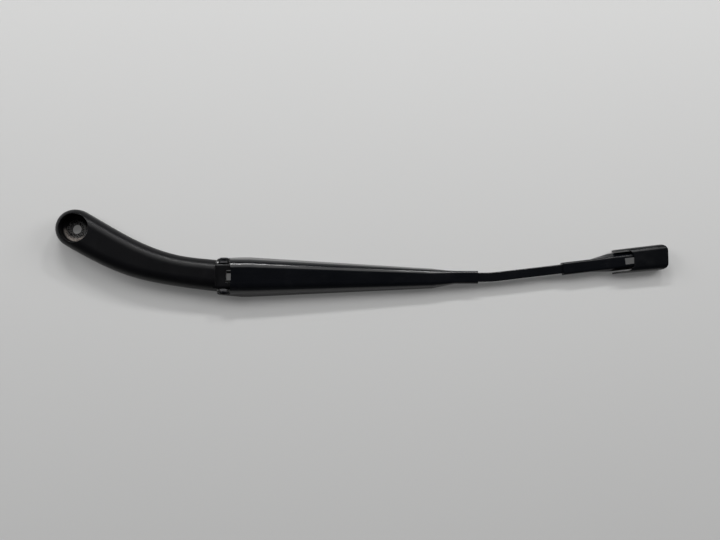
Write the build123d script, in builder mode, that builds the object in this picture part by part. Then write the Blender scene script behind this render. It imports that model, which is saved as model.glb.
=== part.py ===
from build123d import *
from math import cos, radians, sin, sqrt, tan
import os

os.makedirs("parts", exist_ok=True)

# A windscreen wiper arm, lying flat as it does on a table.
# The origin is the centre of the nut seat, at the top of the spindle bore.
# +Z runs up the spindle axis, +X along the folded channel to the blade connector.
# Heights are measured from the foot plane, on which the arm lies. Lengths are in millimetres.

# Fits
PRESS_GAP = 0.02
RUNNING_GAP = 0.06
SIDE_GAP = 0.25
OVERCUT = 1.0

# Eye and spindle bore
SEAT_HEIGHT = 8.0
EYE_TOP_HEIGHT = 23.0
EYE_RADIUS = 17.7
RECESS_RADIUS = 12.6
RECESS_FILLET = 4.5
RIM_DEPTH = 3.2
RIM_FLARE = 1.0
BOSS_RADIUS = 11.0
BOSS_CHAMFER = 0.8
EYE_FLOOR = 3.0
BORE_RADIUS = 4.25
BORE_LENGTH = 4.0
CONE_FOOT_RADIUS = 5.5

# Head, whose plan runs in an S from the eye past a bend and a waist to the hinge
LEAVE_ANGLE = 30.0
BEND_X = 54.5
BEND_Y = -28.1
BEND_ANGLE = 24.0
BEND_WIDTH = 32.0
WAIST_X = 90.4
WAIST_Y = -37.7
WAIST_ANGLE = 12.0
WAIST_WIDTH = 28.2
HEAD_END_SETBACK = 6.7
HEAD_END_Y = -42.3
HEAD_END_ANGLE = 6.0
HEAD_END_WIDTH = 28.8
HEAD_END_HEIGHT = 19.2
SKIRT_HEIGHT = 7.0
HEAD_WALL = 3.0
HEAD_TOP_WALL = 3.6
HEAD_DRAFT = 4.0
HEAD_EDGE_FILLET = 10.0
RIB_THICKNESS = 2.4
RIB_INSET = 2.0

# Hinge
HINGE_X = 133.0
HINGE_Y = -43.1
HINGE_HEIGHT = 12.0
PIN_RADIUS = 2.25
PIN_HEAD_RADIUS = 4.0
PIN_HEAD_HEIGHT = 1.2
PIN_HEAD_FILLET = 0.8
BUSH_WALL = 1.0
BUSH_FLANGE_RADIUS = 5.0
SLOT_WIDTH = 12.0
CHEEK_THICKNESS = 6.0
CHEEK_HEIGHT = 16.6
CHEEK_FOOT_HEIGHT = 3.4
CHEEK_ROUND = 3.0
NOSE_REACH = 13.0
NOSE_DEPTH = 7.0
WEB_THICKNESS = 2.5
WEB_REACH = 2.0
WEB_RAKE = 2.4

# Spring gear
ANCHOR_BACK = 5.0
SPRING_HEIGHT = 7.4
SPRING_REACH = 110.0
ANCHOR_RADIUS = 1.5
STIRRUP_EYE_WALL = 2.0
STIRRUP_THICKNESS = 2.2
STIRRUP_GAP = 6.5
STIRRUP_BAR = 2.4
STIRRUP_DROP = 4.4
STIRRUP_DIP_LENGTH = 10.6
STIRRUP_RISE = 2.0
STIRRUP_REACH = 21.0
STIRRUP_BEND = 1.8
CROSS_BAR_RADIUS = 1.3
WIRE_RADIUS = 1.1
COIL_RADIUS = 4.1
COIL_TURNS = 24
COIL_START = 23.0
COIL_LENGTH = 74.0

# Folded channel
ARM_Y = -43.9
SHEET = 1.6
CHANNEL_HEIGHT = 19.4
CHANNEL_WIDTH = 36.6
CHANNEL_DRAFT = 12.4
CHANNEL_FILLET = 9.0
PLATE_SETBACK = 6.6
PLATE_SAG = 1.2
PARALLEL_LENGTH = 23.0
TAPER_LENGTH = 169.0
TAPER_END_NEAR = 10.0
TAPER_END_FAR = 8.4
TAPER_END_HEIGHT = 12.6
TAPER_END_FOOT = 2.8
TAPER_END_FILLET = 4.5
CLOSING_LENGTH = 21.0
NOSE_LENGTH = 21.0
NOSE_FILLET = 2.2
SEAM_WIDTH = 1.2
EAR_RADIUS = 6.2
EAR_SEAT_RADIUS = 5.6
EAR_FOOT_REACH = 15.0
EAR_CREST = 0.9

# Flat rod
ROD_WIDTH = 8.6
ROD_THICKNESS = 4.0
ROD_EDGE_FILLET = 0.8
ROD_HOLE_RADIUS = 2.1
ROD_HOLE_EDGE = 4.2
ROD_END_ROUND = 3.6
ROD_BEND_DISTANCE = 13.0
ROD_BEND_ANGLE = 6.6
ROD_BEND_RADIUS = 120.0

# Blade connector, whose lengths run along the rod past its bend
NECK_DISTANCE = 68.4
NECK_SHEET = 1.5
NECK_FILLET = 1.9
SLEEVE_LENGTH = 27.5
ROD_GRIP_PAST_SLEEVE = 3.0
FLARE_LENGTH = 19.5
FLARE_NEAR = 7.6
FLARE_FAR = 9.4
FLARE_FILLET = 2.6
FLARE_WALL_LENGTH = 24.0
PLATE_HALF = 5.6
PLATE_LENGTH = 80.0
WINDOW_START = 60.0
WINDOW_WIDTH = 5.8
SHELL_START = 51.0
SHELL_LENGTH = 50.3
SHELL_FRONT_NEAR = 10.4
SHELL_FRONT_FAR = 12.1
SHELL_TIP_NEAR = 11.9
SHELL_TIP_FAR = 12.2
SHELL_WALL = 1.6
SHELL_EDGE_FILLET = 5.0
SHELL_INNER_FILLET = 2.0
SHELL_CORNER = 6.0
NOTCH_LENGTH = 17.4
NOTCH_CORNER = 7.0
LIP_WIDTH = 2.0
LIP_HEIGHT = 1.4
LIP_START = 24.0
LIP_LENGTH = 20.0

# Heights turned into Z of the frame
FOOT_Z = -SEAT_HEIGHT
EYE_TOP_Z = FOOT_Z + EYE_TOP_HEIGHT
SKIRT_Z = FOOT_Z + SKIRT_HEIGHT
HEAD_END_Z = FOOT_Z + HEAD_END_HEIGHT
HINGE_Z = FOOT_Z + HINGE_HEIGHT
CHEEK_Z = FOOT_Z + CHEEK_HEIGHT
CHEEK_FOOT_Z = FOOT_Z + CHEEK_FOOT_HEIGHT
SPRING_Z = FOOT_Z + SPRING_HEIGHT
CHANNEL_Z = FOOT_Z + CHANNEL_HEIGHT
TAPER_END_Z = FOOT_Z + TAPER_END_HEIGHT
TAPER_FOOT_Z = FOOT_Z + TAPER_END_FOOT
ROD_Z = SPRING_Z

# Stations along X
HEAD_END_X = HINGE_X - HEAD_END_SETBACK
ANCHOR_X = HINGE_X - ANCHOR_BACK
EAR_FRONT_X = HINGE_X - EAR_RADIUS
EAR_FOOT_X = HINGE_X + EAR_FOOT_REACH
PLATE_FRONT_X = HINGE_X + PLATE_SETBACK
TAPER_START_X = HINGE_X + PARALLEL_LENGTH
TAPER_END_X = TAPER_START_X + TAPER_LENGTH
NOSE_START_X = TAPER_END_X + CLOSING_LENGTH
NOSE_END_X = NOSE_START_X + NOSE_LENGTH
ROD_HOLE_X = HINGE_X + SPRING_REACH
ROD_START_X = ROD_HOLE_X - ROD_HOLE_EDGE
ROD_BEND_X = NOSE_END_X + ROD_BEND_DISTANCE

# Half widths, slopes and radii that follow from the fits
CHEEK_INNER = SLOT_WIDTH / 2
CHEEK_OUTER = CHEEK_INNER + CHEEK_THICKNESS
BUSH_RADIUS = PIN_RADIUS + RUNNING_GAP + BUSH_WALL
CHANNEL_SLOPE = tan(radians(CHANNEL_DRAFT))
CHANNEL_NEAR = CHANNEL_WIDTH / 2 - (HINGE_Y - ARM_Y)
CHANNEL_FAR = CHANNEL_WIDTH / 2 + (HINGE_Y - ARM_Y)
EAR_OUTER = CHANNEL_WIDTH / 2 - HINGE_HEIGHT * CHANNEL_SLOPE
EAR_INNER = EAR_OUTER - SHEET
PLATE_CUT_HALF = EAR_INNER - EAR_CREST
BUSH_FLANGE = EAR_INNER - SIDE_GAP - CHEEK_OUTER
NOSE_HALF = ROD_WIDTH / 2 + PRESS_GAP + SHEET
NOSE_TOP_Z = ROD_Z + ROD_THICKNESS / 2 + PRESS_GAP + SHEET
NOSE_FOOT_Z = ROD_Z - ROD_THICKNESS / 2 - PRESS_GAP - SHEET
NECK_HALF = ROD_WIDTH / 2 + PRESS_GAP + NECK_SHEET
NECK_TOP_Z = ROD_Z + ROD_THICKNESS / 2 + PRESS_GAP + NECK_SHEET
NECK_FOOT_Z = ROD_Z - ROD_THICKNESS / 2 - PRESS_GAP - NECK_SHEET
STIRRUP_OUTER = STIRRUP_GAP / 2 + STIRRUP_THICKNESS
STIRRUP_EYE_RADIUS = ANCHOR_RADIUS + RUNNING_GAP + STIRRUP_EYE_WALL


def beside(x, y, heading, distance):
    """A point of the plan at a distance to the far side of a heading below +X."""
    return (x + distance * sin(radians(heading)), y + distance * cos(radians(heading)))


def heading_vector(heading):
    """The direction of a heading below +X."""
    return (cos(radians(heading)), -sin(radians(heading)))


def folded_section(plane, near, far, top_z, foot_z, near_slope, far_slope, radius):
    """A closed section on a plane: leaning walls under a rounded top."""
    rise = top_z - foot_z
    with BuildSketch(plane) as section:
        with BuildLine():
            Polyline(
                (-near, foot_z),
                (-near + rise * near_slope, top_z),
                (far - rise * far_slope, top_z),
                (far, foot_z),
                close=True,
            )
        make_face()
        fillet(section.vertices().group_by(Axis.Y)[-1], radius)
    return section.sketch


def folded_void(sheet, plane, near, far, top_z, foot_z, near_slope, far_slope, radius):
    """The space under a sheet of the same section, open at the foot."""
    near_half = near - sheet * sqrt(1 + near_slope**2) + OVERCUT * near_slope
    far_half = far - sheet * sqrt(1 + far_slope**2) + OVERCUT * far_slope
    roof_z = top_z - sheet
    cut_z = foot_z - OVERCUT
    return folded_section(plane, near_half, far_half, roof_z, cut_z, near_slope, far_slope, radius - sheet)


def head_plan(inset):
    """The head's plan, drawn inwards by an inset."""
    end_x = HINGE_X - HEAD_END_SETBACK - inset
    leave = heading_vector(LEAVE_ANGLE)
    arrive = heading_vector(HEAD_END_ANGLE)
    with BuildSketch() as plan:
        with BuildLine():
            eye_round = CenterArc((0, 0), EYE_RADIUS - inset, 90 - LEAVE_ANGLE, 180)
            far_edge = Spline(
                eye_round @ 0,
                beside(BEND_X, BEND_Y, BEND_ANGLE, BEND_WIDTH / 2 - inset),
                beside(WAIST_X, WAIST_Y, WAIST_ANGLE, WAIST_WIDTH / 2 - inset),
                (end_x, HEAD_END_Y + HEAD_END_WIDTH / 2 - inset),
                tangents=(leave, arrive),
            )
            near_edge = Spline(
                eye_round @ 1,
                beside(BEND_X, BEND_Y, BEND_ANGLE, inset - BEND_WIDTH / 2),
                beside(WAIST_X, WAIST_Y, WAIST_ANGLE, inset - WAIST_WIDTH / 2),
                (end_x, HEAD_END_Y - HEAD_END_WIDTH / 2 + inset),
                tangents=(leave, arrive),
            )
            Line(far_edge @ 1, near_edge @ 1)
        make_face()
    return plan.sketch


# Sloping top of the head, from the eye down to the hinge
head_top = Plane(
    origin=(0, 0, EYE_TOP_Z),
    x_dir=(HEAD_END_X, 0, HEAD_END_Z - EYE_TOP_Z),
    z_dir=(EYE_TOP_Z - HEAD_END_Z, 0, HEAD_END_X),
)

# Hollow under the head's skin, which stops short of the eye
with BuildPart() as head_hollow:
    with BuildSketch(Plane.XY.offset(SKIRT_Z - OVERCUT)):
        add(head_plan(HEAD_WALL))
    extrude(amount=EYE_TOP_HEIGHT)
    split(bisect_by=head_top.offset(-HEAD_TOP_WALL), keep=Keep.BOTTOM)
    roof_edges = head_hollow.faces().sort_by(Axis.Z)[-1].edges()
    fillet(roof_edges.sort_by(Axis.X)[:-1], HEAD_EDGE_FILLET - HEAD_WALL)
    with BuildSketch(Plane.XY.offset(SKIRT_Z - 2 * OVERCUT)):
        Circle(EYE_RADIUS - HEAD_WALL)
    extrude(amount=EYE_TOP_HEIGHT, mode=Mode.SUBTRACT)

# Stiffening ribs in the hollow: one along the middle and one across at the bend and the waist
with BuildPart() as head_ribs:
    with BuildSketch(Plane.XY.offset(SKIRT_Z + RIB_INSET)):
        with BuildLine():
            Spline(
                (0, 0),
                (BEND_X, BEND_Y),
                (WAIST_X, WAIST_Y),
                (HEAD_END_X, HEAD_END_Y),
                tangents=(heading_vector(LEAVE_ANGLE), heading_vector(HEAD_END_ANGLE)),
            )
        trace(line_width=RIB_THICKNESS)
        for x, y, heading, width in (
            (BEND_X, BEND_Y, BEND_ANGLE, BEND_WIDTH),
            (WAIST_X, WAIST_Y, WAIST_ANGLE, WAIST_WIDTH),
        ):
            with BuildLine():
                Line(beside(x, y, heading, -width / 2), beside(x, y, heading, width / 2))
            trace(line_width=RIB_THICKNESS)
    extrude(amount=EYE_TOP_HEIGHT)
    add(head_hollow.part, mode=Mode.INTERSECT)

# Block of the hinge knuckle, rounded along its top
hinge_plane = Plane.XZ.offset(-HINGE_Y)
with BuildPart() as head_knuckle:
    with BuildSketch(hinge_plane):
        with BuildLine():
            Polyline(
                (HEAD_END_X - HEAD_WALL, CHEEK_FOOT_Z),
                (HINGE_X + PIN_RADIUS, CHEEK_FOOT_Z),
                (HINGE_X + NOSE_REACH, CHEEK_Z - NOSE_DEPTH),
                (HINGE_X + NOSE_REACH, CHEEK_Z),
                (HEAD_END_X - HEAD_WALL, CHEEK_Z),
                close=True,
            )
        make_face()
    extrude(amount=CHEEK_OUTER, both=True)
    fillet(head_knuckle.edges().filter_by(Axis.X).group_by(Axis.Z)[-1], CHEEK_ROUND)

# Die-cast head with the eye, the nut recess and the two cheeks of the hinge
with BuildPart() as arm_head:
    with BuildSketch(Plane.XY.offset(SKIRT_Z)):
        add(head_plan(0))
    extrude(amount=EYE_TOP_HEIGHT, taper=HEAD_DRAFT)
    split(bisect_by=head_top, keep=Keep.BOTTOM)
    top_edges = arm_head.faces().sort_by(Axis.Z)[-1].edges()
    fillet(top_edges.sort_by(Axis.X)[:-1], HEAD_EDGE_FILLET)
    add(head_hollow.part, mode=Mode.SUBTRACT)
    add(head_ribs.part)
    with BuildSketch(Plane.XY.offset(-EYE_FLOOR)):
        Circle(EYE_RADIUS - HEAD_WALL)
    extrude(amount=EYE_FLOOR)
    with BuildSketch(Plane.XY.offset(FOOT_Z)):
        Circle(BOSS_RADIUS)
    extrude(amount=SEAT_HEIGHT)
    chamfer(arm_head.faces().sort_by(Axis.Z)[0].edges(), BOSS_CHAMFER)
    with BuildSketch(Plane.XZ):
        with BuildLine():
            flare_top = RECESS_RADIUS + RIM_FLARE * (RIM_DEPTH + OVERCUT) / RIM_DEPTH
            Polyline(
                (0, EYE_TOP_Z + OVERCUT),
                (flare_top, EYE_TOP_Z + OVERCUT),
                (RECESS_RADIUS, EYE_TOP_Z - RIM_DEPTH),
                (RECESS_RADIUS, 0),
                (BORE_RADIUS, 0),
                (BORE_RADIUS, -BORE_LENGTH),
                (CONE_FOOT_RADIUS, FOOT_Z),
                (CONE_FOOT_RADIUS, FOOT_Z - OVERCUT),
                (0, FOOT_Z - OVERCUT),
                close=True,
            )
        recess_profile = make_face()
        seat_points = recess_profile.vertices().group_by(Axis.Y)[-3]
        fillet(seat_points.sort_by(Axis.X)[-1], RECESS_FILLET)
    revolve(axis=Axis.Z, mode=Mode.SUBTRACT)
    add(head_knuckle.part)
    with BuildSketch(hinge_plane):
        with BuildLine():
            Polyline(
                (ANCHOR_X - STIRRUP_EYE_RADIUS - SIDE_GAP, FOOT_Z - OVERCUT),
                (HINGE_X + NOSE_REACH + OVERCUT, FOOT_Z - OVERCUT),
                (HINGE_X + NOSE_REACH + OVERCUT, CHEEK_Z + OVERCUT),
                (HINGE_X + WEB_REACH, CHEEK_Z + OVERCUT),
                (HINGE_X + WEB_REACH, CHEEK_Z),
                (HINGE_X + WEB_REACH - WEB_RAKE, CHEEK_Z - WEB_THICKNESS),
                (ANCHOR_X - STIRRUP_EYE_RADIUS - SIDE_GAP, CHEEK_Z - WEB_THICKNESS),
                close=True,
            )
        make_face()
    extrude(amount=CHEEK_INNER, both=True, mode=Mode.SUBTRACT)
    with BuildSketch(hinge_plane):
        with Locations((HINGE_X, HINGE_Z)):
            Circle(BUSH_RADIUS + PRESS_GAP)
        with Locations((ANCHOR_X, SPRING_Z)):
            Circle(ANCHOR_RADIUS + PRESS_GAP)
    extrude(amount=CHEEK_OUTER + OVERCUT, both=True, mode=Mode.SUBTRACT)
arm_head.part.label = "arm_head"
export_step(arm_head.part, "parts/arm_head.step")

# Flanged bushes in the cheeks
for bush_name, side in (("hinge_bush_near", -1), ("hinge_bush_far", 1)):
    with BuildPart() as bush:
        with BuildSketch(Plane(origin=(HINGE_X, HINGE_Y + side * CHEEK_INNER, HINGE_Z), z_dir=(0, side, 0))):
            Circle(BUSH_RADIUS)
        extrude(amount=CHEEK_THICKNESS)
        with BuildSketch(Plane(origin=(HINGE_X, HINGE_Y + side * CHEEK_OUTER, HINGE_Z), z_dir=(0, side, 0))):
            Circle(BUSH_FLANGE_RADIUS)
        extrude(amount=BUSH_FLANGE)
        with BuildSketch(hinge_plane):
            with Locations((HINGE_X, HINGE_Z)):
                Circle(PIN_RADIUS + RUNNING_GAP)
        extrude(amount=EAR_INNER, both=True, mode=Mode.SUBTRACT)
    bush.part.label = bush_name
    export_step(bush.part, f"parts/{bush_name}.step")

# Riveted hinge pin across the ears
with BuildPart() as hinge_pin:
    with BuildSketch(hinge_plane):
        with Locations((HINGE_X, HINGE_Z)):
            Circle(PIN_RADIUS)
    extrude(amount=EAR_OUTER, both=True)
    for side in (-1, 1):
        with BuildSketch(Plane(origin=(HINGE_X, HINGE_Y + side * EAR_OUTER, HINGE_Z), z_dir=(0, side, 0))):
            Circle(PIN_HEAD_RADIUS)
        extrude(amount=PIN_HEAD_HEIGHT)
    rivet_faces = hinge_pin.faces().filter_by(Axis.Y).sort_by(Axis.Y)
    fillet(rivet_faces[0].edges(), PIN_HEAD_FILLET)
    rivet_faces = hinge_pin.faces().filter_by(Axis.Y).sort_by(Axis.Y)
    fillet(rivet_faces[-1].edges(), PIN_HEAD_FILLET)
hinge_pin.part.label = "hinge_pin"
export_step(hinge_pin.part, "parts/hinge_pin.step")

# Cross pin that the stirrup hangs on
with BuildPart() as spring_anchor_pin:
    with BuildSketch(hinge_plane):
        with Locations((ANCHOR_X, SPRING_Z)):
            Circle(ANCHOR_RADIUS)
    extrude(amount=CHEEK_OUTER, both=True)
spring_anchor_pin.part.label = "spring_anchor_pin"
export_step(spring_anchor_pin.part, "parts/spring_anchor_pin.step")

# Stirrup: two legs that dip under the hinge pin, joined by a cross bar for the spring's hook
with BuildPart() as spring_stirrup:
    for side in (-1, 1):
        leg_face = (ANCHOR_X, HINGE_Y + side * STIRRUP_GAP / 2, SPRING_Z)
        with BuildSketch(Plane(origin=leg_face, x_dir=(1, 0, 0), z_dir=(0, -1, 0))):
            with BuildLine():
                FilletPolyline(
                    (0, 0),
                    (0, -STIRRUP_DROP),
                    (STIRRUP_DIP_LENGTH, -STIRRUP_DROP),
                    (STIRRUP_DIP_LENGTH + STIRRUP_RISE, 0),
                    (STIRRUP_REACH, 0),
                    radius=STIRRUP_BEND,
                )
            trace(line_width=STIRRUP_BAR)
            Circle(STIRRUP_EYE_RADIUS)
            with Locations((STIRRUP_REACH, 0)):
                Circle(STIRRUP_BAR)
            Circle(ANCHOR_RADIUS + RUNNING_GAP, mode=Mode.SUBTRACT)
        extrude(amount=-side * STIRRUP_THICKNESS)
    with BuildSketch(hinge_plane):
        with Locations((ANCHOR_X + STIRRUP_REACH, SPRING_Z)):
            Circle(CROSS_BAR_RADIUS)
    extrude(amount=STIRRUP_OUTER, both=True)
spring_stirrup.part.label = "spring_stirrup"
export_step(spring_stirrup.part, "parts/spring_stirrup.step")

# Extension spring with a half hook at each end
coil_start_x = HINGE_X + COIL_START
front_crown_x = ANCHOR_X + STIRRUP_REACH - CROSS_BAR_RADIUS - RUNNING_GAP - WIRE_RADIUS
with BuildPart() as tension_spring:
    coil_centre = (coil_start_x, HINGE_Y, SPRING_Z)
    with BuildLine():
        coil = Helix(COIL_LENGTH / COIL_TURNS, COIL_LENGTH, COIL_RADIUS, coil_centre, (1, 0, 0))
    with BuildSketch(Plane(origin=coil @ 0, z_dir=coil % 0)):
        Circle(WIRE_RADIUS)
    sweep()
    for coil_end, crown_x, way in ((coil @ 0, front_crown_x, 1), (coil @ 1, ROD_HOLE_X, -1)):
        round_x = crown_x + way * COIL_RADIUS
        with BuildLine(hinge_plane):
            run = Line((coil_end.X, SPRING_Z + COIL_RADIUS), (round_x, SPRING_Z + COIL_RADIUS))
            ThreePointArc(run @ 1, (crown_x, SPRING_Z), (round_x, SPRING_Z - COIL_RADIUS))
        with BuildSketch(Plane(origin=coil_end, z_dir=(way, 0, 0))):
            Circle(WIRE_RADIUS)
        sweep()
        with Locations(coil_end):
            Sphere(WIRE_RADIUS)
tension_spring.part.label = "tension_spring"
export_step(tension_spring.part, "parts/tension_spring.step")


def arm_station(x):
    """A plane across the channel, whose own x runs to the far side."""
    return Plane(origin=(x, ARM_Y, 0), x_dir=(0, 1, 0), z_dir=(1, 0, 0))


# Folded channel: leaning walls that taper to a nose crimped round the rod
slopes = (CHANNEL_SLOPE, CHANNEL_SLOPE)
ear_form = (CHANNEL_NEAR, CHANNEL_FAR, CHANNEL_Z, FOOT_Z, *slopes, CHANNEL_FILLET)
taper_form = (TAPER_END_NEAR, TAPER_END_FAR, TAPER_END_Z, TAPER_FOOT_Z, *slopes, TAPER_END_FILLET)
nose_form = (NOSE_HALF, NOSE_HALF, NOSE_TOP_Z, NOSE_FOOT_Z, 0, 0, NOSE_FILLET)
channel_stations = (
    (arm_station(EAR_FRONT_X - OVERCUT), *ear_form),
    (arm_station(TAPER_START_X), *ear_form),
    (arm_station(TAPER_END_X), *taper_form),
    (arm_station(NOSE_START_X), *nose_form),
)
nose_plane = Plane(origin=(NOSE_START_X, ARM_Y, ROD_Z), x_dir=(0, 1, 0), z_dir=(1, 0, 0))
with BuildSketch(hinge_plane) as ear_outline:
    with Locations((HINGE_X, HINGE_Z)):
        Circle(EAR_RADIUS)
    with BuildLine():
        Polyline((PLATE_FRONT_X, CHANNEL_Z), (EAR_FOOT_X, CHANNEL_Z), (EAR_FOOT_X, FOOT_Z))
    make_hull()
with BuildPart() as retainer:
    loft([folded_section(*station) for station in channel_stations], ruled=True)
    extrude(folded_section(*channel_stations[-1]), amount=NOSE_LENGTH)
    loft([folded_void(SHEET, *station) for station in channel_stations], ruled=True, mode=Mode.SUBTRACT)
    with BuildSketch(nose_plane):
        Rectangle(ROD_WIDTH + 2 * PRESS_GAP, ROD_THICKNESS + 2 * PRESS_GAP)
        Rectangle(SEAM_WIDTH, ROD_THICKNESS, align=(Align.CENTER, Align.MAX))
    extrude(amount=NOSE_LENGTH + OVERCUT, mode=Mode.SUBTRACT)
    with BuildSketch(hinge_plane):
        with BuildLine():
            Polyline(
                (EAR_FRONT_X - 2 * OVERCUT, FOOT_Z - OVERCUT),
                (EAR_FOOT_X, FOOT_Z - OVERCUT),
                (EAR_FOOT_X, CHANNEL_Z + OVERCUT),
                (EAR_FRONT_X - 2 * OVERCUT, CHANNEL_Z + OVERCUT),
                close=True,
            )
        make_face()
        add(ear_outline.sketch_local, mode=Mode.SUBTRACT)
    extrude(amount=CHANNEL_WIDTH, both=True, mode=Mode.SUBTRACT)
    with BuildSketch(Plane.XY.offset(FOOT_Z)):
        with BuildLine():
            plate_edge = ThreePointArc(
                (PLATE_FRONT_X - PLATE_SAG, HINGE_Y - PLATE_CUT_HALF),
                (PLATE_FRONT_X, HINGE_Y),
                (PLATE_FRONT_X - PLATE_SAG, HINGE_Y + PLATE_CUT_HALF),
            )
            Polyline(
                plate_edge @ 1,
                (EAR_FRONT_X - 2 * OVERCUT, HINGE_Y + PLATE_CUT_HALF),
                (EAR_FRONT_X - 2 * OVERCUT, HINGE_Y - PLATE_CUT_HALF),
                plate_edge @ 0,
            )
        make_face()
    extrude(amount=CHANNEL_HEIGHT + OVERCUT, mode=Mode.SUBTRACT)
    for side in (-1, 1):
        seat_plane = Plane(origin=(HINGE_X, HINGE_Y + side * EAR_INNER, HINGE_Z), z_dir=(0, side, 0))
        with BuildSketch(seat_plane):
            Circle(EAR_SEAT_RADIUS)
        extrude(amount=SHEET)
        with BuildSketch(seat_plane):
            Circle(EAR_SEAT_RADIUS)
        extrude(amount=-EAR_INNER, mode=Mode.SUBTRACT)
        with BuildSketch(seat_plane.offset(SHEET)):
            Circle(EAR_SEAT_RADIUS)
        extrude(amount=EAR_INNER, mode=Mode.SUBTRACT)
    with BuildSketch(hinge_plane):
        with Locations((HINGE_X, HINGE_Z)):
            Circle(PIN_RADIUS + PRESS_GAP)
    extrude(amount=CHANNEL_WIDTH, both=True, mode=Mode.SUBTRACT)
retainer.part.label = "retainer"
export_step(retainer.part, "parts/retainer.step")

# Flat rod with a bend in plan and a hole for the spring's rear hook
tip_way = (cos(radians(ROD_BEND_ANGLE)), sin(radians(ROD_BEND_ANGLE)))
rod_run = NECK_DISTANCE + SLEEVE_LENGTH + ROD_GRIP_PAST_SLEEVE
with BuildPart() as rod:
    with BuildSketch(Plane.XY.offset(ROD_Z - ROD_THICKNESS / 2)) as rod_plan:
        with BuildLine():
            FilletPolyline(
                (ROD_START_X, ARM_Y),
                (ROD_BEND_X, ARM_Y),
                (ROD_BEND_X + rod_run * tip_way[0], ARM_Y + rod_run * tip_way[1]),
                radius=ROD_BEND_RADIUS,
            )
        trace(line_width=ROD_WIDTH)
        fillet(rod_plan.vertices().sort_by(Axis.X)[:2], ROD_END_ROUND)
        with Locations((ROD_HOLE_X, HINGE_Y)):
            Circle(ROD_HOLE_RADIUS, mode=Mode.SUBTRACT)
    extrude(amount=ROD_THICKNESS)
    flat_faces = rod.faces().filter_by(Axis.Z)
    fillet([face.outer_wire().edges() for face in flat_faces], ROD_EDGE_FILLET)
rod.part.label = "rod"
export_step(rod.part, "parts/rod.step")

# Crimped neck, whose walls lean out to a flare and whose top runs on as a forked plate
tip_plane = Plane(origin=(ROD_BEND_X, ARM_Y, 0), x_dir=(tip_way[0], tip_way[1], 0), z_dir=(0, 0, 1))
sleeve_end = NECK_DISTANCE + SLEEVE_LENGTH
flare_end = sleeve_end + FLARE_LENGTH
wall_end = flare_end + FLARE_WALL_LENGTH
plate_start = wall_end - NECK_SHEET
plate_end = NECK_DISTANCE + PLATE_LENGTH
window_start = NECK_DISTANCE + WINDOW_START


def tip_station(distance):
    """A plane across the tip, whose own x runs to the far side."""
    origin = (ROD_BEND_X + distance * tip_way[0], ARM_Y + distance * tip_way[1], 0)
    return Plane(origin=origin, x_dir=(-tip_way[1], tip_way[0], 0), z_dir=(tip_way[0], tip_way[1], 0))


neck_rise = NECK_TOP_Z - NECK_FOOT_Z
near_slope = (FLARE_NEAR - PLATE_HALF) / neck_rise
far_slope = (FLARE_FAR - PLATE_HALF) / neck_rise
sleeve_form = (NECK_HALF, NECK_HALF, NECK_TOP_Z, NECK_FOOT_Z, 0, 0, NECK_FILLET)
flare_form = (FLARE_NEAR, FLARE_FAR, NECK_TOP_Z, NECK_FOOT_Z, near_slope, far_slope, FLARE_FILLET)
neck_stations = (
    (tip_station(NECK_DISTANCE), *sleeve_form),
    (tip_station(sleeve_end), *sleeve_form),
    (tip_station(flare_end), *flare_form),
    (tip_station(wall_end), *flare_form),
)
void_stations = (
    (tip_station(sleeve_end - ROD_GRIP_PAST_SLEEVE), *sleeve_form),
    (tip_station(sleeve_end), *sleeve_form),
    (tip_station(flare_end), *flare_form),
    (tip_station(wall_end + OVERCUT), *flare_form),
)
with BuildPart() as connector_neck:
    loft([folded_section(*station) for station in neck_stations], ruled=True)
    loft([folded_void(NECK_SHEET, *station) for station in void_stations], ruled=True, mode=Mode.SUBTRACT)
    with BuildSketch(tip_plane.offset(NECK_TOP_Z - NECK_SHEET)):
        with Locations((plate_start, 0)):
            Rectangle(plate_end - plate_start, 2 * PLATE_HALF, align=(Align.MIN, Align.CENTER))
    extrude(amount=NECK_SHEET)
    with BuildSketch(tip_plane.offset(ROD_Z - ROD_THICKNESS / 2 - PRESS_GAP)):
        with Locations((NECK_DISTANCE - OVERCUT, 0)):
            Rectangle(SLEEVE_LENGTH, ROD_WIDTH + 2 * PRESS_GAP, align=(Align.MIN, Align.CENTER))
    extrude(amount=ROD_THICKNESS + 2 * PRESS_GAP, mode=Mode.SUBTRACT)
    with BuildSketch(tip_plane.offset(NECK_FOOT_Z - OVERCUT)):
        with Locations((NECK_DISTANCE - OVERCUT, 0)):
            Rectangle(SLEEVE_LENGTH, SEAM_WIDTH, align=(Align.MIN, Align.CENTER))
    extrude(amount=ROD_THICKNESS, mode=Mode.SUBTRACT)
    with BuildSketch(tip_plane.offset(NECK_FOOT_Z)):
        with Locations((window_start, 0)):
            Rectangle(PLATE_LENGTH, WINDOW_WIDTH, align=(Align.MIN, Align.CENTER))
    extrude(amount=neck_rise + OVERCUT, mode=Mode.SUBTRACT)
connector_neck.part.label = "connector_neck"
export_step(connector_neck.part, "parts/connector_neck.step")

# Blade connector: a channel open below and at its tip, notched over the neck's plate
shell_start = NECK_DISTANCE + SHELL_START
shell_end = shell_start + SHELL_LENGTH
shell_top_z = NECK_TOP_Z + SHELL_WALL
shell_sides = ((-1, SHELL_FRONT_NEAR, SHELL_TIP_NEAR), (1, SHELL_FRONT_FAR, SHELL_TIP_FAR))


def shell_plan(start, end, inset):
    """The shell's plan between two cuts square to the arm, drawn inwards by an inset."""
    sides = []
    for side, front, tip in shell_sides:
        for distance in (start, end):
            half = front + (tip - front) * (distance - shell_start) / SHELL_LENGTH - inset
            sides.append((distance + side * half * tan(radians(ROD_BEND_ANGLE)), side * half))
    near_front, near_tip, far_front, far_tip = sides
    with BuildSketch() as plan:
        with BuildLine():
            Polyline(near_front, near_tip, far_tip, far_front, close=True)
        make_face()
    return plan.sketch


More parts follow.
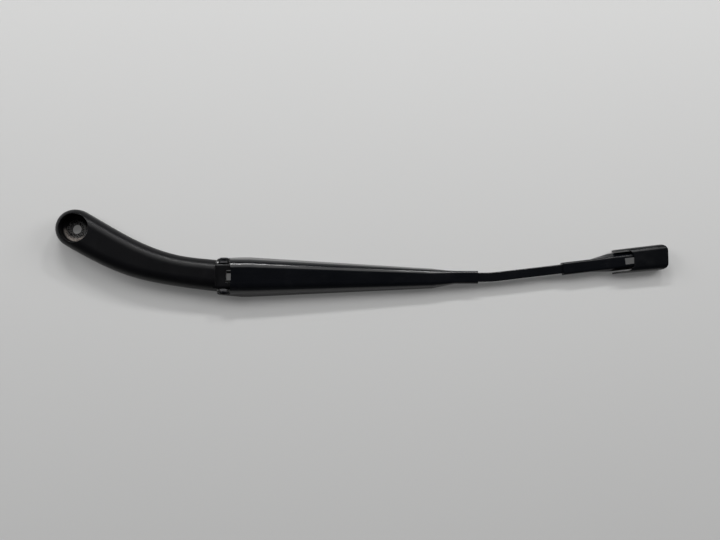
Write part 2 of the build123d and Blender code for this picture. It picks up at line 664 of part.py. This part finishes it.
with BuildPart() as shell_void:
    with BuildSketch(tip_plane.offset(FOOT_Z - OVERCUT)):
        add(shell_plan(shell_start - OVERCUT, shell_end + OVERCUT, SHELL_WALL))
    extrude(amount=NECK_TOP_Z - FOOT_Z + OVERCUT)
    roof_edges = shell_void.faces().sort_by(Axis.Z)[-1].edges()
    fillet(roof_edges.sort_by(Axis.X)[1:-1], SHELL_INNER_FILLET)

with BuildPart() as connector_shell:
    with BuildSketch(tip_plane.offset(FOOT_Z)):
        add(shell_plan(shell_start, shell_end + SHELL_CORNER, 0))
    extrude(amount=shell_top_z - FOOT_Z)
    top_edges = connector_shell.faces().sort_by(Axis.Z)[-1].edges()
    fillet(top_edges.sort_by(Axis.X)[1:-1], SHELL_EDGE_FILLET)
    with BuildSketch(tip_plane.offset(FOOT_Z)) as shell_outline:
        add(shell_plan(shell_start, shell_end, 0))
        fillet(shell_outline.vertices().sort_by(Axis.X)[-2:], SHELL_CORNER)
    extrude(amount=shell_top_z - FOOT_Z, mode=Mode.INTERSECT)
    add(shell_void.part, mode=Mode.SUBTRACT)
    with BuildSketch(tip_plane.offset(NECK_TOP_Z - SHELL_INNER_FILLET)) as notch:
        add(shell_plan(shell_start - OVERCUT, shell_start + NOTCH_LENGTH, SHELL_WALL))
        fillet(notch.vertices().sort_by(Axis.X)[-2:], NOTCH_CORNER)
    extrude(amount=SHELL_WALL + SHELL_INNER_FILLET + OVERCUT, mode=Mode.SUBTRACT)
    lip_start = shell_start + LIP_START
    with BuildSketch(tip_plane.offset(FOOT_Z)):
        add(shell_plan(lip_start, lip_start + LIP_LENGTH, SHELL_WALL / 2))
        add(shell_plan(lip_start, lip_start + LIP_LENGTH, SHELL_WALL + LIP_WIDTH), mode=Mode.SUBTRACT)
    extrude(amount=LIP_HEIGHT)
connector_shell.part.label = "connector_shell"
export_step(connector_shell.part, "parts/connector_shell.step")
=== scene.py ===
import logging
from dataclasses import dataclass, replace
from enum import Enum
from typing import Any, Dict, Optional, Sequence, Tuple, Union

import bmesh
import bpy
from mathutils import Matrix, Vector


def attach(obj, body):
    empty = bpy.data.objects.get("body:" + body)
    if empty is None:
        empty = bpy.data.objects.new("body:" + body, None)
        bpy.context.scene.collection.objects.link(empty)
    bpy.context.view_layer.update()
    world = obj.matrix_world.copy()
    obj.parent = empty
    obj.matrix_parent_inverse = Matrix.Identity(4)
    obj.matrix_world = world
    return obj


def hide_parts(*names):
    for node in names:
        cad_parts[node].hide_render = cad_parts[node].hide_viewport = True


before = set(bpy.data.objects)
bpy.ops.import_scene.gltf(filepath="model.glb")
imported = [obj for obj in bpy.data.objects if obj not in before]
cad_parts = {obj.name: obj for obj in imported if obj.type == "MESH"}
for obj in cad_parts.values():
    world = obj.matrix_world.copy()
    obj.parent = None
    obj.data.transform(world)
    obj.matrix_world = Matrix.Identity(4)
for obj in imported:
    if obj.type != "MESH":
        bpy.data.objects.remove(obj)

LOG = logging.getLogger("wiper_arm")
MM = 0.001

# Widths of the patterns in a coat of paint
CLOUD_SIZE = 38 * MM
HAZE_SIZE = 11 * MM
WEAR_SIZE = 2.2 * MM
DRAWN_SIZE = 0.55 * MM
DRAWN_STRETCH = 70.0
CAST_SIZE = 1.4 * MM

# Dust on a coat, and how much of the coat it and the haze cover
DUST_SPACING = 6.5 * MM
DUST_RADIUS = 0.13 * MM
DUST_SHARE = 0.22
DUST_COVER = 0.75
HAZE_COVER = 0.05

# Bare metal where a coat ends
BARE_DARK = (0.50, 0.49, 0.48)
BARE_PALE = (0.66, 0.65, 0.63)
BARE_ROUGHNESS = 0.46

Colour = Tuple[float, float, float]
Point = Tuple[float, float, float]
Term = Union["Signal", float, Sequence[float]]


class Grain(Enum):
    """How the fine marks in a coat run."""

    ROUND = "round"
    ALONG = "along"


class Signal:
    """One output socket of a finish, which takes part in shader maths."""

    def __init__(self, graph: "FinishGraph", socket: bpy.types.NodeSocket) -> None:
        """Keeps the graph and the socket."""
        self.graph = graph
        self.socket = socket

    def _math(self, operation: str, left: Term, right: Term) -> "Signal":
        """Adds one Math node.

        Args:
            operation: the Math node's operation.
            left: the first value or link.
            right: the second value or link.

        Returns:
            The node's value.
        """
        return self.graph.add("ShaderNodeMath", {"operation": operation}, {0: left, 1: right})

    def __add__(self, other: Term) -> "Signal":
        """This value plus another."""
        return self._math("ADD", self, other)

    def __radd__(self, other: Term) -> "Signal":
        """Another value plus this one."""
        return self._math("ADD", other, self)

    def __sub__(self, other: Term) -> "Signal":
        """This value less another."""
        return self._math("SUBTRACT", self, other)

    def __rsub__(self, other: Term) -> "Signal":
        """Another value less this one."""
        return self._math("SUBTRACT", other, self)

    def __mul__(self, other: Term) -> "Signal":
        """This value times another."""
        return self._math("MULTIPLY", self, other)

    def __rmul__(self, other: Term) -> "Signal":
        """Another value times this one."""
        return self._math("MULTIPLY", other, self)

    def __pow__(self, other: Term) -> "Signal":
        """This value to a power."""
        return self._math("POWER", self, other)

    def __gt__(self, other: Term) -> "Signal":
        """1 where this value is above another, otherwise 0."""
        return self._math("GREATER_THAN", self, other)

    def __lt__(self, other: Term) -> "Signal":
        """1 where this value is below another, otherwise 0."""
        return self._math("LESS_THAN", self, other)

    def between(self, low: float, high: float) -> "Signal":
        """A smooth step of this value.

        Args:
            low: where the step starts, at 0.
            high: where the step ends, at 1.

        Returns:
            A value from 0 to 1.
        """
        settings = {"interpolation_type": "SMOOTHSTEP", "clamp": True}
        inputs = {"Value": self, "From Min": low, "From Max": high}
        return self.graph.add("ShaderNodeMapRange", settings, inputs)


class FinishGraph:
    """The node tree of one finish."""

    def __init__(self, name: str) -> None:
        """Starts a material with a Principled shader and nothing else.

        Args:
            name: the material's name.
        """
        self.material = bpy.data.materials.new(name)
        self.material.use_nodes = True
        self.tree = self.material.node_tree
        self.tree.nodes.clear()
        self.shader = self.tree.nodes.new("ShaderNodeBsdfPrincipled")
        self.output = self.tree.nodes.new("ShaderNodeOutputMaterial")
        self.show(Signal(self, self.shader.outputs["BSDF"]))

    def show(self, shader: Signal) -> None:
        """Makes a shader the surface."""
        self.tree.links.new(shader.socket, self.output.inputs["Surface"])

    def add(
        self,
        kind: str,
        settings: Optional[Dict[str, Any]] = None,
        inputs: Optional[Dict[Union[int, str], Term]] = None,
        output: Union[int, str] = 0,
    ) -> Signal:
        """Adds any node.

        Args:
            kind: the node's type.
            settings: its properties, which are set first.
            inputs: values or links of its sockets, by name or place.
            output: the socket that goes on.

        Returns:
            That output.
        """
        node = self.tree.nodes.new(kind)
        for key, value in (settings or {}).items():
            setattr(node, key, value)
        for key, value in (inputs or {}).items():
            self.feed(node.inputs[key], value)
        return Signal(self, node.outputs[output])

    def feed(self, socket: bpy.types.NodeSocket, value: Term) -> None:
        """Links a signal to a socket, or sets the socket's own value.

        Args:
            socket: the input.
            value: a signal, a number or a colour.
        """
        if isinstance(value, Signal):
            self.tree.links.new(value.socket, socket)
        elif isinstance(value, (int, float)):
            socket.default_value = value
        elif len(value) == 3 and len(socket.default_value) == 4:
            socket.default_value = (*value, 1.0)
        else:
            socket.default_value = value

    def set(self, **values: Term) -> None:
        """Feeds the shader's sockets, named in lower case with underscores.

        Args:
            values: one value or link for each socket.
        """
        for name, value in values.items():
            self.feed(self.shader.inputs[name.replace("_", " ").title().replace("Ior", "IOR")], value)

    def place(self) -> Signal:
        """Object coordinates, in metres."""
        return self.add("ShaderNodeTexCoord", output="Object")

    def axis(self, vector: Signal, name: str) -> Signal:
        """One coordinate of a vector."""
        return self.add("ShaderNodeSeparateXYZ", inputs={0: vector}, output=name)

    def spindle_place(self) -> Tuple[Signal, Signal, Signal, Signal]:
        """Where a point lies round the spindle axis, which is the frame's own Z.

        Returns:
            X, Y, Z and the distance from the axis, in metres.
        """
        place = self.place()
        x, y, z = (self.axis(place, name) for name in "XYZ")
        return x, y, z, (x * x + y * y) ** 0.5

    def noise(self, size: float, detail: float = 2.0, stretch: Point = (1.0, 1.0, 1.0)) -> Signal:
        """Cloudy noise.

        Args:
            size: the width of one cloud, in metres.
            detail: octaves.
            stretch: how many times longer the clouds are along each axis.

        Returns:
            A value near 0.5.
        """
        scale = tuple(1.0 / (size * s) for s in stretch)
        where = self.add("ShaderNodeMapping", inputs={"Vector": self.place(), "Scale": scale})
        return self.add("ShaderNodeTexNoise", inputs={"Vector": where, "Scale": 1.0, "Detail": detail})

    def specks(self, spacing: float, radius: float, share: float) -> Signal:
        """Separate round specks on the faces that look up.

        Args:
            spacing: the usual distance between places, in metres.
            radius: a speck's radius, in metres.
            share: the share of places that have one.

        Returns:
            1 in a speck, otherwise 0.
        """
        where = self.add("ShaderNodeMapping", inputs={"Vector": self.place(), "Scale": (1.0 / spacing,) * 3})
        near = self.add("ShaderNodeTexVoronoi", inputs={"Vector": where, "Scale": 1.0})
        colour = self.add("ShaderNodeTexVoronoi", inputs={"Vector": where, "Scale": 1.0}, output="Color")
        luck = self.add("ShaderNodeSeparateColor", inputs={0: colour})
        up = self.axis(self.add("ShaderNodeNewGeometry", output="Normal"), "Z")
        return (near < radius / spacing) * (luck < share) * up.between(0.3, 0.8)

    def round_normal(self, radius: float) -> Signal:
        """The normal with sharp edges rounded off.

        Args:
            radius: the rounding, in metres.

        Returns:
            A normal.
        """
        return self.add("ShaderNodeBevel", {"samples": 6}, {"Radius": radius})

    def edges(self, radius: float) -> Signal:
        """Where the surface turns sharply.

        Args:
            radius: how far from an edge this reaches, in metres.

        Returns:
            A value that is 0 on flat ground and rises to 1 on an edge.
        """
        flat = self.add("ShaderNodeNewGeometry", output="Normal")
        turned = self.round_normal(radius)
        along = self.add("ShaderNodeVectorMath", {"operation": "DOT_PRODUCT"}, {0: flat, 1: turned}, "Value")
        return (1.0 - along).between(0.02, 0.3)

    def mix(self, factor: Term, low: Term, high: Term) -> Signal:
        """A mix of two colours.

        Args:
            factor: 0 for the first, 1 for the second.
            low: the first colour.
            high: the second colour.

        Returns:
            The mixed colour.
        """
        settings = {"data_type": "RGBA"}
        return self.add("ShaderNodeMix", settings, {0: factor, 6: low, 7: high}, 2)

    def bump(self, height: Signal, depth: float, normal: Signal) -> Signal:
        """A normal from a height.

        Args:
            height: the height, from 0 to 1.
            depth: how high 1 stands, in metres.
            normal: the normal that it adds to.

        Returns:
            The bumped normal.
        """
        inputs = {"Height": height, "Distance": depth, "Strength": 1.0, "Normal": normal}
        return self.add("ShaderNodeBump", inputs=inputs)


@dataclass(frozen=True)
class BoreZone:
    """The bore's cone, which is machined after painting, and the nut's seat, whose coat is worn thin."""

    cone_radius: float
    cone_top: float
    seat_radius: float
    seat_height: float
    seat_wear: float

    def mask(self, graph: FinishGraph) -> Signal:
        """Where the metal is bare.

        Args:
            graph: the finish that it goes into.

        Returns:
            1 on bare metal, less on a thin coat, otherwise 0.
        """
        _, _, z, radius = graph.spindle_place()
        cone = (radius < self.cone_radius) * (z < self.cone_top)
        seat = (radius < self.seat_radius) * (z < self.seat_height) * (z > -self.seat_height)
        patches = graph.noise(1.3 * MM, 3.0).between(0.40, 0.62)
        return cone + seat * patches * self.seat_wear


@dataclass(frozen=True)
class ShankZone:
    """The middle of a pin, which the spray doesn't reach."""

    near: float
    far: float

    def mask(self, graph: FinishGraph) -> Signal:
        """Where the metal is bare.

        Args:
            graph: the finish that it goes into.

        Returns:
            1 on bare metal, otherwise 0.
        """
        y = graph.axis(graph.place(), "Y")
        return (y > self.near) * (y < self.far)


@dataclass(frozen=True)
class PaintedCrescentZone:
    """A painted highlight: a pale tan patch on one side of a ring at the foot of a recess, standing in for
    the crescent of light that falls there, broken into patches.
    """

    colour: Colour
    inner: float
    outer: float
    fade: float
    floor: float
    toward: Tuple[float, float]
    start: float
    full: float
    share: float

    def mask(self, graph: FinishGraph) -> Signal:
        """Where the painted highlight lies.

        Args:
            graph: the finish that it goes into.

        Returns:
            The painted highlight's share of the surface, and 0 outside the ring.
        """
        x, y, z, radius = graph.spindle_place()
        ring = radius.between(self.inner, self.inner + self.fade)
        ring = ring * (1.0 - radius.between(self.outer - self.fade, self.outer))
        # Only the side of the ring where the light falls gets the patch: painted highlight.
        reach = x * self.toward[0] + y * self.toward[1]
        side = reach.between(self.start, self.full) * (z > self.floor)
        patches = graph.noise(1.6 * MM, 3.0).between(0.25, 0.6)
        return ring * side * patches * self.share


@dataclass(frozen=True)
class BlackPaint:
    """A black coat on metal, with its texture, its dust and its thin edges."""

    name: str
    colour: Colour
    cloud_colour: Colour
    edge_colour: Colour
    dust_colour: Colour
    roughness: float
    roughness_swing: float
    peel_size: float
    peel_depth: float
    grain: Grain
    specular: float
    edge_round: float
    edge_wear: float
    bare: Optional[Union[BoreZone, ShankZone]] = None
    # Where given, a pale patch that paints a highlight into the coat.
    painted_crescent: Optional[PaintedCrescentZone] = None

    def build(self) -> bpy.types.Material:
        """Makes the material.

        Returns:
            The finished material.
        """
        graph = FinishGraph(self.name)
        clouds = graph.noise(CLOUD_SIZE, 3.0)
        peel = graph.noise(self.peel_size, 2.0)
        fine = graph.noise(self.peel_size / 3.0, 1.0)
        marks = self._marks(graph)
        worn = 0.35 + 0.9 * graph.noise(WEAR_SIZE, 3.0)
        edge = graph.edges(self.edge_round * 1.6) * worn * self.edge_wear
        dust = graph.specks(DUST_SPACING, DUST_RADIUS, DUST_SHARE)
        haze = graph.noise(HAZE_SIZE, 4.0).between(0.52, 0.78)
        colour = graph.mix(clouds.between(0.3, 0.7), self.colour, self.cloud_colour)
        colour = graph.mix(haze * HAZE_COVER, colour, self.edge_colour)
        colour = graph.mix(edge, colour, self.edge_colour)
        colour = graph.mix(dust * DUST_COVER, colour, self.dust_colour)
        rough = self.roughness + (clouds - 0.5) * self.roughness_swing + (marks - 0.5) * 0.08
        rough = rough + (fine - 0.5) * 0.05 + dust * 0.25 - edge * 0.05 + haze * 0.05
        height = peel * 0.75 + fine * 0.15 + marks * 0.1
        normal = graph.bump(height, self.peel_depth, graph.round_normal(self.edge_round))
        # Painted highlight: a pale patch mixed into the colour, and made rougher.
        if self.painted_crescent is not None:
            painted_crescent = self.painted_crescent.mask(graph)
            colour = graph.mix(painted_crescent, colour, self.painted_crescent.colour)
            rough = rough + painted_crescent * 0.2
        if self.bare is not None:
            bare = self.bare.mask(graph)
            colour = graph.mix(bare, colour, graph.mix(fine, BARE_DARK, BARE_PALE))
            rough = rough * (1.0 - bare) + bare * (BARE_ROUGHNESS + 0.2 * peel)
            graph.set(metallic=bare)
        graph.set(base_color=colour, roughness=rough, normal=normal, specular_ior_level=self.specular)
        return graph.material

    def _marks(self, graph: FinishGraph) -> Signal:
        """The fine marks under the coat.

        Args:
            graph: the finish that they go into.

        Returns:
            A value near 0.5.
        """
        if self.grain is Grain.ALONG:
            return graph.noise(DRAWN_SIZE, 2.0, (DRAWN_STRETCH, 1.0, 1.0))
        return graph.noise(CAST_SIZE, 3.0)


@dataclass(frozen=True)
class MetalFinish:
    """Bare or plated metal with a blotchy, lightly scratched surface."""

    name: str
    colour: Colour
    blotch_colour: Colour
    blotch_size: float
    roughness: float
    roughness_swing: float
    metallic: float

    def build(self) -> bpy.types.Material:
        """Makes the material.

        Returns:
            The finished material.
        """
        graph = FinishGraph(self.name)
        blotch = graph.noise(self.blotch_size, 3.0)
        scratch = graph.noise(0.25 * MM, 2.0, (14.0, 1.0, 1.0))
        colour = graph.mix(blotch.between(0.32, 0.68), self.colour, self.blotch_colour)
        rough = self.roughness + (blotch - 0.5) * self.roughness_swing + (scratch - 0.5) * 0.15
        normal = graph.bump(scratch, 0.006 * MM, graph.round_normal(0.15 * MM))
        graph.set(base_color=colour, roughness=rough, normal=normal, metallic=self.metallic)
        return graph.material


@dataclass(frozen=True)
class MouldedFinish:
    """Dark bearing plastic with a fine moulded grain."""

    name: str
    colour: Colour
    pale_colour: Colour
    roughness: float

    def build(self) -> bpy.types.Material:
        """Makes the material.

        Returns:
            The finished material.
        """
        graph = FinishGraph(self.name)
        grain = graph.noise(0.35 * MM, 2.0)
        flow = graph.noise(4.0 * MM, 3.0)
        colour = graph.mix(flow.between(0.35, 0.65), self.colour, self.pale_colour)
        rough = self.roughness + (grain - 0.5) * 0.12
        normal = graph.bump(grain, 0.01 * MM, graph.round_normal(0.2 * MM))
        graph.set(base_color=colour, roughness=rough, normal=normal)
        return graph.material


HEAD_PAINT = BlackPaint(
    name="head_powder_coat",
    colour=(0.0022, 0.0022, 0.0027),
    cloud_colour=(0.0031, 0.0031, 0.0037),
    edge_colour=(0.022, 0.022, 0.024),
    dust_colour=(0.16, 0.16, 0.155),
    roughness=0.34,
    roughness_swing=0.06,
    peel_size=0.9 * MM,
    peel_depth=0.014 * MM,
    grain=Grain.ROUND,
    specular=0.18,
    edge_round=0.5 * MM,
    edge_wear=0.55,
)
SHEET_PAINT = BlackPaint(
    name="channel_gloss_paint",
    colour=(0.0018, 0.0022, 0.0032),
    cloud_colour=(0.0024, 0.0028, 0.0040),
    edge_colour=(0.014, 0.015, 0.017),
    dust_colour=(0.15, 0.15, 0.15),
    roughness=0.19,
    roughness_swing=0.06,
    peel_size=1.8 * MM,
    peel_depth=0.008 * MM,
    grain=Grain.ALONG,
    specular=0.40,
    edge_round=0.28 * MM,
    edge_wear=0.5,
)
ROD_PAINT = BlackPaint(
    name="rod_gloss_paint",
    colour=(0.0018, 0.0022, 0.0032),
    cloud_colour=(0.0024, 0.0028, 0.0040),
    edge_colour=(0.012, 0.013, 0.015),
    dust_colour=(0.15, 0.15, 0.15),
    roughness=0.21,
    roughness_swing=0.06,
    peel_size=1.5 * MM,
    peel_depth=0.008 * MM,
    grain=Grain.ALONG,
    specular=0.40,
    edge_round=0.2 * MM,
    edge_wear=0.4,
)
SHELL_PAINT = BlackPaint(
    name="connector_satin_paint",
    colour=(0.0018, 0.0021, 0.0028),
    cloud_colour=(0.0024, 0.0028, 0.0036),
    edge_colour=(0.018, 0.019, 0.021),
    dust_colour=(0.15, 0.15, 0.15),
    roughness=0.19,
    roughness_swing=0.06,
    peel_size=1.1 * MM,
    peel_depth=0.010 * MM,
    grain=Grain.ROUND,
    specular=0.42,
    edge_round=0.28 * MM,
    edge_wear=0.5,
)
ZINC_PLATE = MetalFinish(
    name="zinc_plate",
    colour=(0.46, 0.47, 0.46),
    blotch_colour=(0.58, 0.58, 0.54),
    blotch_size=3.0 * MM,
    roughness=0.34,
    roughness_swing=0.25,
    metallic=1.0,
)
SPRING_WIRE = MetalFinish(
    name="phosphated_spring_wire",
    colour=(0.085, 0.088, 0.094),
    blotch_colour=(0.13, 0.13, 0.13),
    blotch_size=5.0 * MM,
    roughness=0.36,
    roughness_swing=0.2,
    metallic=0.9,
)
BEARING_PLASTIC = MouldedFinish(
    name="bearing_plastic",
    colour=(0.035, 0.035, 0.038),
    pale_colour=(0.05, 0.05, 0.052),
    roughness=0.5,
)
Finish = Union[BlackPaint, MetalFinish, MouldedFinish]


@dataclass
class SubAssembly:
    """Nodes that ride on one body."""

    body: str

    def coats(self) -> Dict[str, Finish]:
        """The finish of each node."""
        raise NotImplementedError

    def build(self) -> None:
        """Makes the pieces that aren't nodes, where there are any."""

    def dress(self, made: Dict[str, bpy.types.Material]) -> None:
        """Puts each node's finish on it.

        Args:
            made: materials made so far, by name.
        """
        for node, finish in self.coats().items():
            if finish.name not in made:
                made[finish.name] = finish.build()
            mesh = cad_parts[node].data
            mesh.materials.clear()
            mesh.materials.append(made[finish.name])
            LOG.info("%s on %s is dressed in %s", node, self.body, finish.name)


@dataclass
class CastHead(SubAssembly):
    """The die-cast head, with a machined bore and seat, and a painted highlight on one side of the recess
    floor.
    """

    body: str = "head"
    cone_radius: float = 5.8 * MM
    cone_top: float = -4.0 * MM
    seat_radius: float = 8.6 * MM
    seat_height: float = 0.4 * MM
    seat_wear: float = 0.24
    # A painted highlight: a pale tan crescent on the near side of the recess floor, where the light falls.
    painted_crescent: PaintedCrescentZone = PaintedCrescentZone(
        colour=(0.26, 0.225, 0.20),
        inner=7.4 * MM,
        outer=11.8 * MM,
        fade=1.6 * MM,
        floor=-0.4 * MM,
        toward=(-0.35, -0.94),
        start=1.5 * MM,
        full=6.5 * MM,
        share=0.85,
    )

    def coats(self) -> Dict[str, Finish]:
        """The finish of each node.

        Returns:
            Each node's finish, by name.
        """
        bare = BoreZone(self.cone_radius, self.cone_top, self.seat_radius, self.seat_height, self.seat_wear)
        return {"arm_head": replace(HEAD_PAINT, bare=bare, painted_crescent=self.painted_crescent)}


@dataclass
class HingeBearings(SubAssembly):
    """The bushes and the anchor pin in the head's cheeks."""

    body: str = "head"

    def coats(self) -> Dict[str, Finish]:
        """The finish of each node."""
        return {
            "hinge_bush_near": BEARING_PLASTIC,
            "hinge_bush_far": BEARING_PLASTIC,
            "spring_anchor_pin": ZINC_PLATE,
        }


@dataclass
class FoldedArm(SubAssembly):
    """The folded channel, its riveted pin and the flat rod."""

    body: str = "arm"
    shank_middle: float = -43.1 * MM
    shank_half: float = 5.9 * MM

    def coats(self) -> Dict[str, Finish]:
        """The finish of each node.

        Returns:
            Each node's finish, by name.
        """
        bare = ShankZone(self.shank_middle - self.shank_half, self.shank_middle + self.shank_half)
        rivet = replace(SHEET_PAINT, name="rivet_paint", roughness=0.42, grain=Grain.ROUND, bare=bare)
        return {"retainer": SHEET_PAINT, "hinge_pin": rivet, "rod": ROD_PAINT}


@dataclass
class BladeConnector(SubAssembly):
    """The crimped neck and the shell that takes the blade."""

    body: str = "arm"

    def coats(self) -> Dict[str, Finish]:
        """The finish of each node.

        Returns:
            Each node's finish, by name.
        """
        neck = replace(SHEET_PAINT, name="neck_satin_paint", roughness=0.24, specular=0.22)
        return {"connector_neck": neck, "connector_shell": SHELL_PAINT}


@dataclass
class SpringLink(SubAssembly):
    """The stirrup, and the tension spring, whose rear hook stays in the rod while the coil swings."""

    body: str = "link"
    hook_body: str = "arm"
    cut_x: float = 237.6 * MM
    cut_gap: float = 0.2 * MM
    shank: float = 2.6 * MM
    shank_slim: float = 0.5
    weld_distance: float = 0.001 * MM

    def coats(self) -> Dict[str, Finish]:
        """The finish of each node."""
        return {"spring_stirrup": SPRING_WIRE, "tension_spring": SPRING_WIRE}

    def build(self) -> None:
        """Makes the coil and the rear hook out of the spring's own mesh."""
        coil = self._half("spring_coil", self.body, False)
        self._half("spring_rear_hook", self.hook_body, True)
        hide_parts("tension_spring")

    def _half(self, name: str, body: str, rear: bool) -> bpy.types.Object:
        """Makes the part of the spring on one side of the cut.

        Args:
            name: the piece's name.
            body: the body that it rides on.
            rear: whether it is the part behind the cut, which gets a shank that slides in the coil.

        Returns:
            The piece.
        """
        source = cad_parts["tension_spring"].data
        shape = bmesh.new()
        shape.from_mesh(source)
        bmesh.ops.remove_doubles(shape, verts=shape.verts[:], dist=self.weld_distance)
        cut = bmesh.ops.bisect_plane(
            shape,
            geom=shape.verts[:] + shape.edges[:] + shape.faces[:],
            plane_co=(self.cut_x if rear else self.cut_x - self.cut_gap, 0.0, 0.0),
            plane_no=(1.0, 0.0, 0.0),
            clear_inner=rear,
            clear_outer=not rear,
        )
        rim = [item for item in cut["geom_cut"] if isinstance(item, bmesh.types.BMEdge)]
        if rear:
            grown = bmesh.ops.extrude_edge_only(shape, edges=rim)["geom"]
            ring = [item for item in grown if isinstance(item, bmesh.types.BMVert)]
            middle = sum((vert.co for vert in ring), Vector()) / len(ring)
            slim = (1.0, self.shank_slim, self.shank_slim)
            bmesh.ops.scale(shape, verts=ring, vec=slim, space=Matrix.Translation(-middle))
            bmesh.ops.translate(shape, verts=ring, vec=(-self.shank, 0.0, 0.0))
            rim = [item for item in grown if isinstance(item, bmesh.types.BMEdge) and item.is_boundary]
        bmesh.ops.holes_fill(shape, edges=rim, sides=0)
        bmesh.ops.recalc_face_normals(shape, faces=shape.faces[:])
        for face in shape.faces:
            face.smooth = True
        mesh = bpy.data.meshes.new(name)
        shape.to_mesh(mesh)
        shape.free()
        mesh.materials.append(source.materials[0])
        piece = bpy.data.objects.new(name, mesh)
        bpy.context.scene.collection.objects.link(piece)
        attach(piece, body)
        LOG.info("%s rides on %s", name, body)
        return piece


@dataclass(frozen=True)
class SoftBox:
    """One rectangular lamp."""

    name: str
    place: Point
    size: Tuple[float, float]
    power: float

    def hang(self, target: Point) -> None:
        """Hangs the lamp so that it looks at a point.

        Args:
            target: the point, in metres.
        """
        lamp = bpy.data.lights.new(self.name, "AREA")
        lamp.shape = "RECTANGLE"
        lamp.size, lamp.size_y = self.size
        lamp.energy = self.power
        holder = bpy.data.objects.new(self.name, lamp)
        holder.location = self.place
        aim = Vector(target) - Vector(self.place)
        holder.rotation_euler = aim.to_track_quat("-Z", "Y").to_euler()
        bpy.context.scene.collection.objects.link(holder)


@dataclass
class Studio:
    """The pale floor, the soft lamps and the camera."""

    floor_z: float = -8.0 * MM
    floor_half: float = 3.0
    floor_colour: Colour = (0.58, 0.58, 0.575)
    floor_middle_x: float = 0.27
    floor_glow: float = 0.17
    glow_strength: float = 0.9
    low_sky: Colour = (0.12, 0.125, 0.13)
    low_sky_stop: float = 0.1
    high_sky: Colour = (0.030, 0.030, 0.032)
    high_sky_stop: float = 0.7
    target: Point = (0.25697, -0.03738, 0.004)
    eye: Point = (0.20130, -0.09305, 0.80012)
    right: Point = (0.99757586, -0.00485417, 0.06941786)
    lens: float = 43.5
    sensor: float = 36.0
    clip_start: float = 0.01
    lamps: Tuple[SoftBox, ...] = (
        SoftBox("far_strip_left", (0.03, 1.15, 0.80), (0.54, 0.09), 7.5),
        SoftBox("far_strip_right", (0.72, 1.15, 0.80), (0.26, 0.09), 5.0),
        SoftBox("far_soft_box", (0.27, 0.95, 1.40), (1.8, 0.80), 9.0),
        SoftBox("left_soft_box", (-1.20, 0.75, 1.00), (0.9, 0.9), 15.0),
        SoftBox("right_soft_box", (1.75, 0.75, 1.00), (0.9, 0.9), 15.0),
    )

    def build(self) -> None:
        """Makes the whole studio."""
        self._floor()
        self._world()
        for lamp in self.lamps:
            lamp.hang(self.target)
        self._camera()

    def _floor(self) -> None:
        """Lays the floor under the arm, a little of whose tone shows in its shadows too."""
        graph = FinishGraph("pale_floor")
        darker = tuple(0.97 * c for c in self.floor_colour)
        tone = graph.mix(graph.noise(0.4, 2.0), self.floor_colour, darker)
        graph.set(base_color=tone, roughness=0.85)
        kinds = ("Camera", "Glossy", "Transmission")
        camera, glossy, clear = (graph.add("ShaderNodeLightPath", output=f"Is {kind} Ray") for kind in kinds)
        seen = (camera + glossy + clear) > 0.5
        glow = graph.add("ShaderNodeEmission", inputs={"Color": tone, "Strength": self.glow_strength})
        lit = Signal(graph, graph.shader.outputs["BSDF"])
        graph.show(graph.add("ShaderNodeMixShader", inputs={0: seen * self.floor_glow, 1: lit, 2: glow}))
        mesh = bpy.data.meshes.new("floor")
        shape = bmesh.new()
        bmesh.ops.create_grid(shape, x_segments=1, y_segments=1, size=self.floor_half)
        bmesh.ops.translate(shape, verts=shape.verts[:], vec=(self.floor_middle_x, 0.0, self.floor_z))
        shape.to_mesh(mesh)
        shape.free()
        mesh.materials.append(graph.material)
        floor = bpy.data.objects.new("floor", mesh)
        bpy.context.scene.collection.objects.link(floor)

    def _world(self) -> None:
        """Makes a soft sky, dim overhead and paler round the sides."""
        world = bpy.data.worlds.new("studio")
        world.use_nodes = True
        bpy.context.scene.world = world
        tree = world.node_tree
        tree.nodes.clear()
        where = tree.nodes.new("ShaderNodeTexCoord")
        split = tree.nodes.new("ShaderNodeSeparateXYZ")
        ramp = tree.nodes.new("ShaderNodeValToRGB")
        low, high = ramp.color_ramp.elements
        low.position, low.color = self.low_sky_stop, (*self.low_sky, 1.0)
        high.position, high.color = self.high_sky_stop, (*self.high_sky, 1.0)
        sky = tree.nodes.new("ShaderNodeBackground")
        output = tree.nodes.new("ShaderNodeOutputWorld")
        tree.links.new(where.outputs["Generated"], split.inputs[0])
        tree.links.new(split.outputs["Z"], ramp.inputs[0])
        tree.links.new(ramp.outputs["Color"], sky.inputs["Color"])
        tree.links.new(sky.outputs["Background"], output.inputs["Surface"])

    def _camera(self) -> None:
        """Sets the camera at the photograph's viewing angle."""
        data = bpy.data.cameras.new("photo_camera")
        data.sensor_fit = "HORIZONTAL"
        data.sensor_width = self.sensor
        data.lens = self.lens
        data.clip_start = self.clip_start
        camera = bpy.data.objects.new("photo_camera", data)
        back = (Vector(self.eye) - Vector(self.target)).normalized()
        up = back.cross(Vector(self.right)).normalized()
        right = up.cross(back).normalized()
        turn = Matrix((right, up, back)).transposed().to_4x4()
        camera.matrix_world = Matrix.Translation(self.eye) @ turn
        bpy.context.scene.collection.objects.link(camera)
        bpy.context.scene.camera = camera


def main() -> None:
    """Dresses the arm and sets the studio."""
    logging.basicConfig(level=logging.INFO, format="%(name)s: %(message)s")
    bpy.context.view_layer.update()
    bpy.context.scene.view_settings.view_transform = "Standard"
    made: Dict[str, bpy.types.Material] = {}
    for group in (CastHead(), HingeBearings(), FoldedArm(), BladeConnector(), SpringLink()):
        group.dress(made)
        group.build()
    Studio().build()
    LOG.info("the studio is set")


if __name__ == "__main__":
    main()
